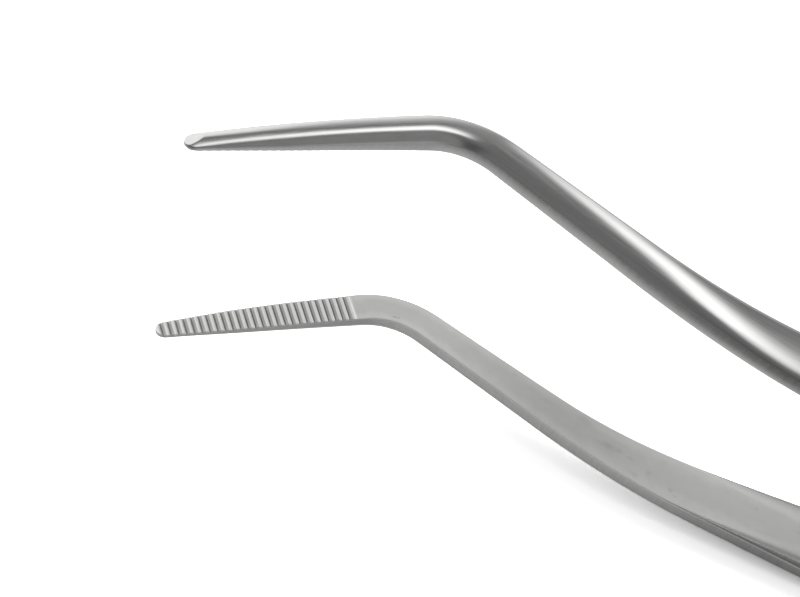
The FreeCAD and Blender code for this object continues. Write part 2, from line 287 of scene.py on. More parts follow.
class ArmLine:
    """The bent line of an arm, its section's measures and its grooves, as distances from its tip."""

    def __init__(self, scene):
        form = scene.tweezers_form
        section = scene.tweezers_section
        grooves = scene.tweezers_grooves
        knee_length = form.knee_radius * form.knee_angle
        self.lay_out_bow(form, knee_length)
        self.lay_out_plan(form, knee_length)
        self.lay_out_section(form, section, knee_length)
        self.lay_out_grooves(form, grooves)

    def lay_out_bow(self, form, knee_length):
        spring = [(form.heel_length, 0.0), (form.spring_radius * form.handle_slope, form.handle_slope)]
        front = [(form.bow_length, form.neck_slope - form.handle_slope), (form.front_length, 0.0),
                 (knee_length, form.jaw_slope - form.neck_slope), (form.jaw_length, 0.0)]
        curved = spring + front
        rise = follow(curved, chain_length(curved))[1]
        straight = (form.tip_opening / 2 - rise) / sin(form.handle_slope)
        self.bow = spring + [(straight, 0.0)] + front
        self.length = chain_length(self.bow)

    def lay_out_plan(self, form, knee_length):
        bent = [(form.contra_radius * form.contra_angle, -form.contra_angle), (form.neck_length, 0.0),
                (knee_length, form.knee_angle), (form.jaw_length, form.jaw_sweep)]
        run = follow(self.bow, self.length)[0]
        self.plan = [(run - chain_length(bent), 0.0)] + bent

    def lay_out_section(self, form, section, knee_length):
        knee = form.jaw_length + knee_length / 2
        neck = form.jaw_length + knee_length + section.slender_length
        shoulder = neck + section.shoulder_length
        handle = shoulder + section.flare_length
        palm = handle + section.palm_length
        weld = self.length - form.heel_length
        end = self.length
        self.handle_place = handle
        self.measures = {
            "half": [(0.0, section.tip_width / 2), (section.midjaw_length, section.jaw_width / 2),
                     (knee, section.knee_width / 2), (neck, section.neck_width / 2),
                     (shoulder, section.shoulder_width / 2), (handle, section.handle_width / 2),
                     (palm, section.handle_width / 2), (end, section.heel_width / 2)],
            "wall": [(0.0, section.tip_wall), (knee, section.knee_wall), (neck, section.neck_wall),
                     (handle, section.handle_wall), (palm, section.handle_wall),
                     (weld, section.heel_wall), (end, section.heel_wall)],
            "crown": [(0.0, section.tip_crown), (knee, section.knee_crown), (neck, section.neck_crown),
                      (shoulder, section.shoulder_crown), (handle, section.handle_crown),
                      (palm, section.handle_crown), (weld, section.heel_crown), (end, section.heel_crown)],
            "roll_width": [(0.0, section.edge_break), (shoulder, section.edge_break),
                           (handle, section.roll_width), (palm, section.roll_width),
                           (weld, section.heel_roll), (end, section.heel_roll)],
            "roll_depth": [(0.0, section.edge_break), (shoulder, section.edge_break),
                           (handle, section.roll_depth), (palm, section.roll_depth),
                           (weld, section.heel_roll), (end, section.heel_roll)],
        }

    def lay_out_grooves(self, form, grooves):
        span = form.jaw_length - grooves.serration_start - grooves.serration_end
        self.serration_count = int(span / grooves.serration_pitch) + 1
        self.grip_count = int(grooves.grip_length / grooves.grip_pitch + 0.5) + 1
        self.grip_start = self.handle_place - grooves.grip_lead
        self.groove_rows = [(grooves.serration_start, grooves.serration_pitch, self.serration_count,
                             grooves.serration_width),
                            (self.grip_start, grooves.grip_pitch, self.grip_count, grooves.grip_width)]

    def row_places(self, spacing):
        """Places of the mesh's rows: evenly spaced, closer at the round ends, and at each groove's edges."""
        count = round(self.length / spacing)
        places = [self.length * i / count for i in range(1, count)]
        steps = 14
        for radius, origin, way in ((smooth(self.measures["half"], 0.0), 0.0, 1.0),
                                    (smooth(self.measures["half"], self.length), self.length, -1.0)):
            places = [place for place in places if abs(place - origin) > radius]
            turns = [pi / 2 * (i + 0.15) / steps for i in range(steps + 1)]
            places += [origin + way * radius * (1.0 - cos(turn)) for turn in turns]
        for start, pitch, number, width in self.groove_rows:
            low = start - pitch / 2
            high = start + (number - 0.5) * pitch
            places = [place for place in places if not low < place < high]
            for i in range(number):
                middle = start + i * pitch
                places += [middle - pitch / 2, middle - width / 2, middle, middle + width / 2]
        return sorted(places)

    def end_share(self, place):
        """Share of the width that is left where an end is rounded."""
        for radius, distance in ((smooth(self.measures["half"], 0.0), place),
                                 (smooth(self.measures["half"], self.length), self.length - place)):
            if distance < radius:
                return sqrt(1.0 - (1.0 - distance / radius) ** 2)
        return 1.0

    def station(self, place, side):
        """Section of the upper (side 1) or lower (side -1) arm: point, frame and measures."""
        run, height, slope = follow(self.bow, self.length - place)
        forward, sideways, heading = follow(self.plan, run)
        along = Vector((-cos(heading) * cos(slope), -sin(heading) * cos(slope), side * sin(slope)))
        across = Vector((sin(heading), -cos(heading), 0.0)) * side
        values = {name: smooth(knots, place) for name, knots in self.measures.items()}
        values["half"] *= self.end_share(place)
        values["roll_width"] = min(values["roll_width"], values["half"])
        values["place"] = place
        return Vector((-forward, -sideways, side * height)), across, along.cross(across), values


# Meshes that the arms are grown from


def ring_points(count, radius, height=0.0):
    """Points evenly round a level circle."""
    turns = [2 * pi * i / count for i in range(count)]
    return [(radius * cos(turn), radius * sin(turn), height) for turn in turns]


def chain_mesh(name, points, closed=False):
    """Mesh that is only a chain of edges."""
    edges = [(i, i + 1) for i in range(len(points) - 1)]
    if closed:
        edges.append((len(points) - 1, 0))
    mesh = bpy.data.meshes.new(name)
    mesh.from_pydata(points, edges, [])
    return mesh


def store(mesh, name, values):
    """Point attribute of numbers or vectors."""
    if isinstance(values[0], Vector):
        data = mesh.attributes.new(name, "FLOAT_VECTOR", "POINT").data
        data.foreach_set("vector", [part for value in values for part in value])
    else:
        mesh.attributes.new(name, "FLOAT", "POINT").data.foreach_set("value", values)


def section_outline():
    """Points round a D section as shares of its measures, with how polished each one is and how much worn
    edge with a painted highlight it has.

    Each point is (half, roll width) for its place across and (roll depth, wall, crown) for its height.
    """
    flat_steps, roll_steps, wall_steps, crown_steps = 14, 7, 6, 58
    right = []
    for i in range(flat_steps // 2):
        share = 2.0 * (i + 0.5) / flat_steps
        right.append((share, -share, 0.0, 0.0, 0.0, 0.0, 0.0))
    # The last share is worn edge with a painted highlight: whole on the rolled edge, less at the foot of the
    # wall
    for i in range(roll_steps):
        turn = pi / 2 * i / roll_steps
        right.append((1.0, sin(turn) - 1.0, 1.0 - cos(turn), 0.0, 0.0, 0.0, 1.0))
    for i in range(wall_steps):
        share = i / wall_steps
        right.append((1.0, 0.0, 1.0 - share, share, 0.0, WALL_POLISH, 0.7 if i == 0 else 0.0))
    for i in range(crown_steps // 2):
        turn = pi * i / crown_steps
        right.append((cos(turn), 0.0, 0.0, 1.0, sin(turn), WALL_POLISH if i == 0 else 1.0, 0.0))
    left = [(-across[0], -across[1], *across[2:]) for across in reversed(right)]
    return right + [(0.0, 0.0, 0.0, 1.0, 1.0, 1.0, 0.0)] + left


OUTLINE_NAMES = ("to_half", "to_roll_width", "to_roll_depth", "to_wall", "to_crown", "polish", "wear")


# Geometry node trees


def new_tree(name, sockets_in, sockets_out):
    """Node tree with named (name, type, default) inputs and outputs."""
    tree = bpy.data.node_groups.new(name, "GeometryNodeTree")
    for direction, sockets in (("INPUT", sockets_in), ("OUTPUT", sockets_out)):
        for socket_name, kind, default in sockets:
            socket = tree.interface.new_socket(socket_name, in_out=direction, socket_type="NodeSocket" + kind)
            if default is not None:
                socket.default_value = default
    return tree


def node(tree, kind, inputs=None, **settings):
    """New node with its settings made and its inputs linked or set."""
    made = tree.nodes.new(kind)
    for key, value in settings.items():
        setattr(made, key, value)
    for key, value in (inputs or {}).items():
        if isinstance(value, bpy.types.NodeSocket):
            tree.links.new(value, made.inputs[key])
        else:
            made.inputs[key].default_value = value
    return made


def maths(tree, operation, *values):
    """Result of a maths node on sockets or numbers."""
    return node(tree, "ShaderNodeMath", dict(enumerate(values)), operation=operation).outputs[0]


def times(tree, first, *others):
    """Product of sockets or numbers."""
    for other in others:
        first = maths(tree, "MULTIPLY", first, other)
    return first


def vector_maths(tree, operation, first, second):
    """Result of a vector maths node. To scale a vector, the second value is a number."""
    key = "Scale" if operation == "SCALE" else 1
    return node(tree, "ShaderNodeVectorMath", {0: first, key: second}, operation=operation).outputs[0]


def named(tree, name, data_type="FLOAT"):
    """Named attribute of the geometry."""
    made = node(tree, "GeometryNodeInputNamedAttribute", {"Name": name}, data_type=data_type)
    return made.outputs["Attribute"]


def groove_tree():
    """Depth of a row of V grooves at a place along an arm."""
    tree = new_tree("V grooves", [
        ("Place", "Float", None), ("Start", "Float", 0.0), ("Pitch", "Float", 1.0 * MM),
        ("Count", "Int", 10), ("Width", "Float", 0.5 * MM), ("Depth", "Float", 0.2 * MM),
    ], [("Depth", "Float", None)])
    given = tree.nodes.new("NodeGroupInput").outputs
    done = tree.nodes.new("NodeGroupOutput")
    beyond = maths(tree, "SUBTRACT", given["Place"], given["Start"])
    number = maths(tree, "ROUND", maths(tree, "DIVIDE", beyond, given["Pitch"]))
    last = maths(tree, "SUBTRACT", given["Count"], 1.0)
    number = maths(tree, "MAXIMUM", maths(tree, "MINIMUM", number, last), 0.0)
    middle = times(tree, number, given["Pitch"])
    distance = maths(tree, "ABSOLUTE", maths(tree, "SUBTRACT", beyond, middle))
    share = maths(tree, "DIVIDE", distance, maths(tree, "DIVIDE", given["Width"], 2.0))
    fill = maths(tree, "MAXIMUM", maths(tree, "SUBTRACT", 1.0, share), 0.0)
    tree.links.new(times(tree, fill, given["Depth"]), done.inputs["Depth"])
    return tree


def arm_tree():
    """Grows an arm from its line: a D section at each point, then the grooves pressed in."""
    grooves = groove_tree()
    tree = new_tree("Forged arm", [
        ("Geometry", "Geometry", None), ("Section", "Object", None), ("Material", "Material", None),
        ("Serration start", "Float", 0.0), ("Serration pitch", "Float", 1.0 * MM),
        ("Serration count", "Int", 10), ("Serration width", "Float", 0.5 * MM),
        ("Serration depth", "Float", 0.2 * MM),
        ("Grip start", "Float", 0.0), ("Grip pitch", "Float", 1.0 * MM), ("Grip count", "Int", 10),
        ("Grip width", "Float", 0.5 * MM), ("Grip depth", "Float", 0.2 * MM),
        ("Facet height", "Float", 1.0 * MM), ("Facet rise", "Float", 0.0), ("Facet skew", "Float", 0.0),
        ("Sharp angle", "Float", radians(25.0)),
    ], [("Geometry", "Geometry", None)])
    given = tree.nodes.new("NodeGroupInput").outputs
    done = tree.nodes.new("NodeGroupOutput")

    line = node(tree, "GeometryNodeMeshToCurve", {"Mesh": given["Geometry"]})
    section = node(tree, "GeometryNodeObjectInfo", {"Object": given["Section"]})
    outline = node(tree, "GeometryNodeMeshToCurve", {"Mesh": section.outputs["Geometry"]})
    tube = node(tree, "GeometryNodeCurveToMesh", {
        "Curve": line.outputs[0], "Profile Curve": outline.outputs[0], "Fill Caps": True})

    half = times(tree, named(tree, "to_half"), named(tree, "half"))
    side = maths(tree, "MULTIPLY_ADD", named(tree, "to_roll_width"), named(tree, "roll_width"), half)
    lift = times(tree, named(tree, "to_roll_depth"), named(tree, "roll_depth"))
    lift = maths(tree, "MULTIPLY_ADD", named(tree, "to_wall"), named(tree, "wall"), lift)
    lift = maths(tree, "MULTIPLY_ADD", named(tree, "to_crown"), named(tree, "crown"), lift)

    cuts = {}
    for kind in ("Serration", "Grip"):
        cut = node(tree, "GeometryNodeGroup", node_tree=grooves)
        tree.links.new(named(tree, "place"), cut.inputs["Place"])
        for measure in ("start", "pitch", "count", "width", "depth"):
            tree.links.new(given[f"{kind} {measure}"], cut.inputs[measure.capitalize()])
        cuts[kind] = cut.outputs["Depth"]
    lift = maths(tree, "MAXIMUM", lift, cuts["Serration"])
    top = maths(tree, "SUBTRACT", maths(tree, "ADD", named(tree, "wall"), named(tree, "crown")), cuts["Grip"])
    lift = maths(tree, "MINIMUM", lift, top)
    facet = maths(tree, "MULTIPLY_ADD", named(tree, "place"), given["Facet rise"], given["Facet height"])
    facet = maths(tree, "MULTIPLY_ADD", side, given["Facet skew"], facet)
    lift = maths(tree, "MINIMUM", lift, facet)

    sideways = vector_maths(tree, "SCALE", named(tree, "across", "FLOAT_VECTOR"), side)
    outwards = vector_maths(tree, "SCALE", named(tree, "out", "FLOAT_VECTOR"), lift)
    point = vector_maths(tree, "ADD", named(tree, "centre", "FLOAT_VECTOR"),
                         vector_maths(tree, "ADD", sideways, outwards))

    geometry = tube.outputs[0]
    for name, value in (("side", side), ("lift", lift)):
        geometry = node(tree, "GeometryNodeStoreNamedAttribute", {
            "Geometry": geometry, "Name": name, "Value": value}, data_type="FLOAT", domain="POINT").outputs[0]
    geometry = node(tree, "GeometryNodeSetPosition", {"Geometry": geometry, "Position": point}).outputs[0]
    geometry = node(tree, "GeometryNodeSetShadeSmooth", {"Geometry": geometry}, domain="FACE").outputs[0]
    turn = node(tree, "GeometryNodeInputMeshEdgeAngle").outputs["Unsigned Angle"]
    sharp = node(tree, "FunctionNodeCompare", {"A": turn, "B": given["Sharp angle"]},
                 data_type="FLOAT", operation="GREATER_THAN").outputs[0]
    geometry = node(tree, "GeometryNodeSetShadeSmooth", {
        "Geometry": geometry, "Selection": sharp, "Shade Smooth": False}, domain="EDGE").outputs[0]
    geometry = node(tree, "GeometryNodeRealizeInstances", {"Geometry": geometry}).outputs[0]
    geometry = node(tree, "GeometryNodeSetMaterial", {
        "Geometry": geometry, "Material": given["Material"]}).outputs[0]
    tree.links.new(geometry, done.inputs["Geometry"])
    return tree


def grow(name, source, tree, values):
    """Plain mesh object that a tree makes of a source mesh, with the tree's inputs set by name."""
    grower = bpy.data.objects.new(name + "_source", source)
    bpy.context.scene.collection.objects.link(grower)
    modifier = grower.modifiers.new("Grow", "NODES")
    modifier.node_group = tree
    identifiers = {item.name: item.identifier for item in tree.interface.items_tree
                   if item.item_type == "SOCKET" and item.in_out == "INPUT"}
    for key, value in values.items():
        modifier[identifiers[key]] = value
    bpy.context.view_layer.update()
    evaluated = grower.evaluated_get(bpy.context.evaluated_depsgraph_get())
    mesh = bpy.data.meshes.new_from_object(evaluated)
    mesh.name = name
    grower.modifiers.remove(modifier)
    bpy.data.objects.remove(grower)
    piece = bpy.data.objects.new(name, mesh)
    bpy.context.scene.collection.objects.link(piece)
    return piece


# Steel


# Stains on the lower arm's inner face: place from the tip and across, length and width, and strength
STAINS = (
    (53.2, -0.05, 1.0, 0.5, 0.5), (52.4, -0.2, 0.8, 0.4, 0.3), (54.4, 0.1, 0.6, 0.35, 0.4),
    (55.8, -0.05, 0.5, 0.3, 0.3), (56.8, -1.7, 0.35, 0.3, 0.3), (58.0, -0.6, 0.35, 0.3, 0.35),
    (60.6, -1.4, 0.3, 0.25, 0.4), (61.2, -1.9, 0.25, 0.2, 0.3), (69.6, 1.0, 0.2, 0.18, 0.35),
    (74.2, 0.2, 0.2, 0.18, 0.35), (40.9, 1.1, 0.4, 0.25, 0.25), (43.2, 0.75, 0.5, 0.25, 0.2),
    (49.6, 1.2, 1.2, 0.5, 0.22), (45.3, 0.6, 0.8, 0.4, 0.15), (26.2, -1.08, 0.35, 0.07, 0.9),
    (26.75, -1.04, 0.14, 0.1, 0.9),
)


# Stretches of an arm over which its finish and its painted light and shade change, in millimetres from the
# tip
JAW_LIGHT_STRETCH = (28.0, 50.0)
NECK_SHADE_STRETCH = (46.0, 68.0)
EDGE_STRETCH = (58.0, 80.0)
ROUND_STRETCH = (40.0, 62.0)
WALL_SHADE_STRETCH = (17.0, 30.0)
FAR_STRETCH = (4.0, 17.0)

# Marks along, across and out of an arm, in marks per millimetre
GRAIN = (5.0, 5.0, 5.0)
CLOUD = (0.55, 0.8, 0.8)
LENGTHWISE = (0.22, 7.0, 7.0)
CROSSWISE = (5.0, 0.5, 0.5)
RAGGED = (2.2, 2.2, 2.2)


def attribute(tree, name, output="Fac"):
    """Number or vector stored on the mesh, read by a shader."""
    return node(tree, "ShaderNodeAttribute", attribute_name=name).outputs[output]


def lean(tree, normal, direction, amount):
    """A normal leaned in a direction by the angle with this tangent."""
    return vector_maths(tree, "ADD", normal, vector_maths(tree, "SCALE", direction, amount))


def fade(tree, value, low, high, start=0.0, end=1.0):
    """Eased from start to end while a value runs from low to high."""
    return node(tree, "ShaderNodeMapRange", {
        "Value": value, "From Min": low, "From Max": high, "To Min": start, "To Max": end},
        interpolation_type="SMOOTHSTEP").outputs[0]


def fade_over(tree, value, ends, unit, start=0.0, end=1.0):
    """The same between two ends that are given in a unit."""
    return fade(tree, value, ends[0] * unit, ends[1] * unit, start, end)


def mixed(tree, share, first, second):
    """Number between two."""
    return node(tree, "ShaderNodeMix", {0: share, 2: first, 3: second}).outputs[0]


def blend(tree, share, first, second):
    """Colour between two, which are sockets or RGB values."""
    mix = tree.nodes.new("ShaderNodeMix")
    mix.data_type = "RGBA"
    tree.links.new(share, mix.inputs[0])
    for index, value in ((6, first), (7, second)):
        if isinstance(value, bpy.types.NodeSocket):
            tree.links.new(value, mix.inputs[index])
        else:
            mix.inputs[index].default_value = (*value, 1.0)
    return mix.outputs[2]


def marks(tree, place, scale, detail=3.0):
    """Noise round zero."""
    stretched = vector_maths(tree, "MULTIPLY", place, [share / MM for share in scale])
    noise = node(tree, "ShaderNodeTexNoise", {"Vector": stretched, "Scale": 1.0, "Detail": detail})
    return maths(tree, "SUBTRACT", noise.outputs["Fac"], 0.5)


def stain_share(tree, place):
    """How stained a point is."""
    ragged = marks(tree, place, RAGGED)
    total = 0.0
    for along, across, length, width, strength in STAINS:
        offset = vector_maths(tree, "SUBTRACT", place, (along * MM, across * MM, 0.0))
        scaled = vector_maths(tree, "MULTIPLY", offset, (1.0 / (length * MM), 1.0 / (width * MM), 0.0))
        away = node(tree, "ShaderNodeVectorMath", {0: scaled}, operation="LENGTH").outputs["Value"]
        away = maths(tree, "MULTIPLY_ADD", ragged, 1.3, away)
        total = maths(tree, "MAXIMUM", total, fade(tree, away, 0.1, 1.4, strength, 0.0))
    return total


class Steel:
    """Forged stainless steel: satin polished crown, ground walls, blasted flat face, serrated jaws."""

    def __init__(self, tree, scene, arm_side):
        self.tree = tree
        self.arm_side = arm_side
        self.finish = scene.tweezers_finish
        self.grooves = scene.tweezers_grooves
        self.jaw_length = scene.tweezers_form.jaw_length
        self.depth = self.grooves.upper_depth if arm_side > 0 else self.grooves.serration_depth
        self.along = attribute(tree, "place")
        self.side = attribute(tree, "side")
        self.lift = attribute(tree, "lift")
        self.half = attribute(tree, "half")
        self.polish = attribute(tree, "polish")
        place = node(tree, "ShaderNodeCombineXYZ", {"X": self.along, "Y": self.side, "Z": self.lift})
        self.place = place.outputs[0]
        self.grain, self.cloud, self.lengthwise, self.crosswise = (
            marks(tree, self.place, scale) for scale in (GRAIN, CLOUD, LENGTHWISE, CROSSWISE))
        self.lay_out_faces()
        self.lay_out_jaw()

    def fade_along(self, ends, start, end):
        return fade_over(self.tree, self.along, ends, MM, start, end)

    def lay_out_faces(self):
        """Shares of the crown, the walls, the flat face and its edges."""
        tree = self.tree
        self.crown = fade(tree, self.polish, 0.5, 0.9)
        self.flat = fade(tree, self.polish, 0.05, 0.3, 1.0, 0.0)
        self.walls = maths(tree, "SUBTRACT", maths(tree, "SUBTRACT", 1.0, self.crown), self.flat)
        band = times(tree, self.fade_along(EDGE_STRETCH, 0.01, 1.0), self.finish.edge_band)
        inside = maths(tree, "SUBTRACT", self.half, maths(tree, "ABSOLUTE", self.side))
        share = maths(tree, "SUBTRACT", 1.0, maths(tree, "DIVIDE", inside, band))
        self.edge = maths(tree, "MINIMUM", maths(tree, "MAXIMUM", share, 0.0), 1.0)

    def lay_out_jaw(self):
        """Shares of the serrated face and of its lands, and the place from groove to groove, round zero."""
        tree = self.tree
        grooves = self.grooves
        end = self.jaw_length - grooves.serration_end
        self.jaw = times(tree, fade(tree, self.along, end, end + 0.5 * MM, 1.0, 0.0), self.flat)
        self.land = times(tree, fade(tree, self.lift, 0.1 * self.depth, 0.4 * self.depth, 1.0, 0.0), self.jaw)
        beyond = maths(tree, "SUBTRACT", self.along, grooves.serration_start)
        phase = maths(tree, "FRACT", maths(tree, "DIVIDE", beyond, grooves.serration_pitch))
        self.phase = maths(tree, "SUBTRACT", phase, 0.5)

    def varied(self, colour, scratches, amount, cloudy, darker, brighter):
        """Colour between a darker and a brighter tone of it, by scratches and by clouds."""
        share = maths(self.tree, "MULTIPLY_ADD", self.cloud, cloudy, 0.5)
        share = maths(self.tree, "MULTIPLY_ADD", scratches, amount, share)
        dark, bright = ([part * tone for part in colour] for tone in (darker, brighter))
        return blend(self.tree, share, dark, bright)

    def flat_colour(self):
        tree = self.tree
        finish = self.finish
        matte = self.varied(finish.matte_colour, self.grain, 0.3, 0.35, 0.86, 1.14)
        # Painted light and shade: the flat face brighter along its edges and near the jaws, darker in front
        # of the handle
        beside = maths(tree, "DIVIDE", maths(tree, "ABSOLUTE", self.side), self.half)
        beside = maths(tree, "MULTIPLY_ADD", self.cloud, 0.5, beside)
        bright = times(tree, fade(tree, beside, 0.3, 0.85, 1.0, finish.edge_painted_light),
                       self.fade_along(JAW_LIGHT_STRETCH, finish.painted_light, 1.0),
                       self.fade_along(NECK_SHADE_STRETCH, finish.painted_neck_shade, 1.0))
        matte = vector_maths(tree, "SCALE", matte, bright)
        rolled = maths(tree, "MAXIMUM", self.edge, fade(tree, self.lift, 0.0, 0.2 * MM))
        rolled = times(tree, rolled, maths(tree, "SUBTRACT", 1.0, self.jaw))
        return blend(tree, rolled, matte, finish.polished_colour)

    def wall_colour(self):
        ground = self.varied(self.finish.polished_colour, self.crosswise, 1.2, 0.4, 0.82, 1.06)
        if self.arm_side > 0:
            return ground
        # Painted shade: the lower jaw's walls darker than the upper's
        tone = self.fade_along(WALL_SHADE_STRETCH, self.finish.painted_wall_shade, 1.0)
        return vector_maths(self.tree, "SCALE", ground, tone)

    def colour(self):
        tree = self.tree
        finish = self.finish
        satin = self.varied(finish.polished_colour, self.lengthwise, 0.9, 0.5, 0.88, 1.12)
        surface = blend(tree, self.walls, self.flat_colour(), self.wall_colour())
        surface = blend(tree, self.crown, surface, satin)
        if self.arm_side < 0:
            stained = times(tree, stain_share(tree, self.place), self.flat)
            surface = blend(tree, stained, surface, finish.stain_colour)
        # Painted highlight: the lands between the grooves brightened
        surface = blend(tree, self.land, surface, finish.land_glint_colour)
        # Painted shade deep in the grooves, on one flank of each
        groove_shade = times(tree, fade(tree, self.lift, 0.0, 0.3 * self.depth),
                      fade(tree, self.phase, -0.05, 0.05, 0.0, 0.8), self.jaw)
        surface = blend(tree, groove_shade, surface, finish.groove_shade_colour)
        # Worn edges, brightened as a painted highlight
        worn_glint = times(tree, attribute(tree, "wear"), maths(tree, "MULTIPLY_ADD", self.grain, 0.8, 0.4))
        return blend(tree, worn_glint, surface, finish.worn_glint_colour)

    def roughness(self):
        tree = self.tree
        finish = self.finish
        matte = maths(tree, "MULTIPLY_ADD", self.grain, 0.12, finish.matte_roughness)
        rolled = maths(tree, "MAXIMUM", self.jaw, self.edge)
        rolled = maths(tree, "MAXIMUM", rolled, fade(tree, self.lift, 0.0, 0.12 * MM))
        matte = mixed(tree, rolled, matte, finish.edge_roughness)
        matte = mixed(tree, self.land, matte, finish.land_roughness)
        satin = maths(tree, "MULTIPLY_ADD", self.lengthwise, 0.16, finish.polished_roughness)
        middle = (finish.matte_roughness + finish.polished_roughness) / 2
        ground = maths(tree, "MULTIPLY_ADD", self.crosswise, 0.2, middle)
        return mixed(tree, self.crown, mixed(tree, self.walls, matte, ground), satin)

    def flank_lean(self):
        """Walls round off towards the crown."""
        tree = self.tree
        finish = self.finish
        share = maths(tree, "DIVIDE", self.lift, attribute(tree, "wall"))
        rounded = maths(tree, "MINIMUM", share, maths(tree, "MULTIPLY_ADD", share, -2.0, 3.0))
        most = tan(finish.flank_round) * (finish.lower_round if self.arm_side < 0 else 1.0)
        return times(tree, maths(tree, "MAXIMUM", rounded, 0.0), fade(tree, self.polish, 0.1, 0.3),
                     self.fade_along(ROUND_STRETCH, finish.front_round * most, most))

    def land_lean(self):
        """Lands round off at their edges, mostly on the side towards the knee."""
        tree = self.tree
        pitch = self.grooves.serration_pitch
        land_half = (pitch - self.grooves.serration_width) / 2
        beside = node(tree, "ShaderNodeClamp", {
            "Value": times(tree, self.phase, pitch / land_half), "Min": -0.2, "Max": 1.0}).outputs[0]
        return times(tree, beside, self.land, -tan(self.finish.land_round))

    def twist_lean(self):
        """A jaw's crown is polished down on its leaning side, but not at the tip's facet."""
        tree = self.tree
        grooves = self.grooves
        slope = tan(grooves.facet_slope)
        facet = maths(tree, "MULTIPLY_ADD", self.along, slope * cos(grooves.facet_turn), grooves.facet_height)
        skew = slope * sin(grooves.facet_turn) * self.arm_side
        facet = maths(tree, "MULTIPLY_ADD", self.side, skew, facet)
        whole = fade_over(tree, maths(tree, "SUBTRACT", facet, self.lift), (0.004, 0.02), MM)
        far = maths(tree, "DIVIDE", times(tree, self.side, -self.arm_side), self.half)
        far = times(tree, fade(tree, far, 0.0, 0.45), self.fade_along(FAR_STRETCH, 1.0, 0.0))
        twist = fade(tree, self.along, 4.0 * MM, self.jaw_length + 6.0 * MM, 1.0, 0.0)
        return times(tree, twist, self.crown, whole, maths(tree, "SUBTRACT", 1.0, far),
                     self.arm_side * tan(self.finish.jaw_twist))

    def edge_lean(self):
        """The handle's flat face turns down towards its edges."""
        tree = self.tree
        return times(tree, self.edge, maths(tree, "SIGN", self.side), self.flat, tan(self.finish.edge_turn))

    def normal(self):
        """Normal, leaned where the steel is rounded more finely than its mesh."""
        tree = self.tree
        out = attribute(tree, "out", "Vector")
        across = attribute(tree, "across", "Vector")
        to_tip = vector_maths(tree, "CROSS_PRODUCT", across, out)
        normal = node(tree, "ShaderNodeNewGeometry").outputs["Normal"]
        for direction, amount in ((out, self.flank_lean()), (to_tip, self.land_lean()),
                                  (across, self.twist_lean()), (across, self.edge_lean())):
            normal = lean(tree, normal, direction, amount)
        return node(tree, "ShaderNodeVectorMath", {0: normal}, operation="NORMALIZE").outputs[0]

    def relief(self):
        """Normal with the fine relief of the blasted grain and the brush marks."""
        tree = self.tree
        finish = self.finish
        height = times(tree, self.grain, self.flat, finish.grain_depth)
        for scratches, share in ((self.lengthwise, self.crown), (self.crosswise, self.walls)):
            height = maths(tree, "MULTIPLY_ADD", times(tree, scratches, share), finish.brush_depth, height)
        return node(tree, "ShaderNodeBump", {
            "Height": height, "Distance": 1.0, "Strength": 1.0, "Normal": self.normal()}).outputs[0]


def steel_material(scene, name, arm_side):
    """Steel of the upper (arm_side 1) or lower (arm_side -1) arm."""
    material = bpy.data.materials.new(name)
    material.use_nodes = True
    tree = material.node_tree
    shader = tree.nodes["Principled BSDF"]
    shader.inputs["Metallic"].default_value = 1.0
    steel = Steel(tree, scene, arm_side)
    for key, value in (("Base Color", steel.colour()), ("Roughness", steel.roughness()),
                       ("Normal", steel.relief())):
        tree.links.new(value, shader.inputs[key])
    return material


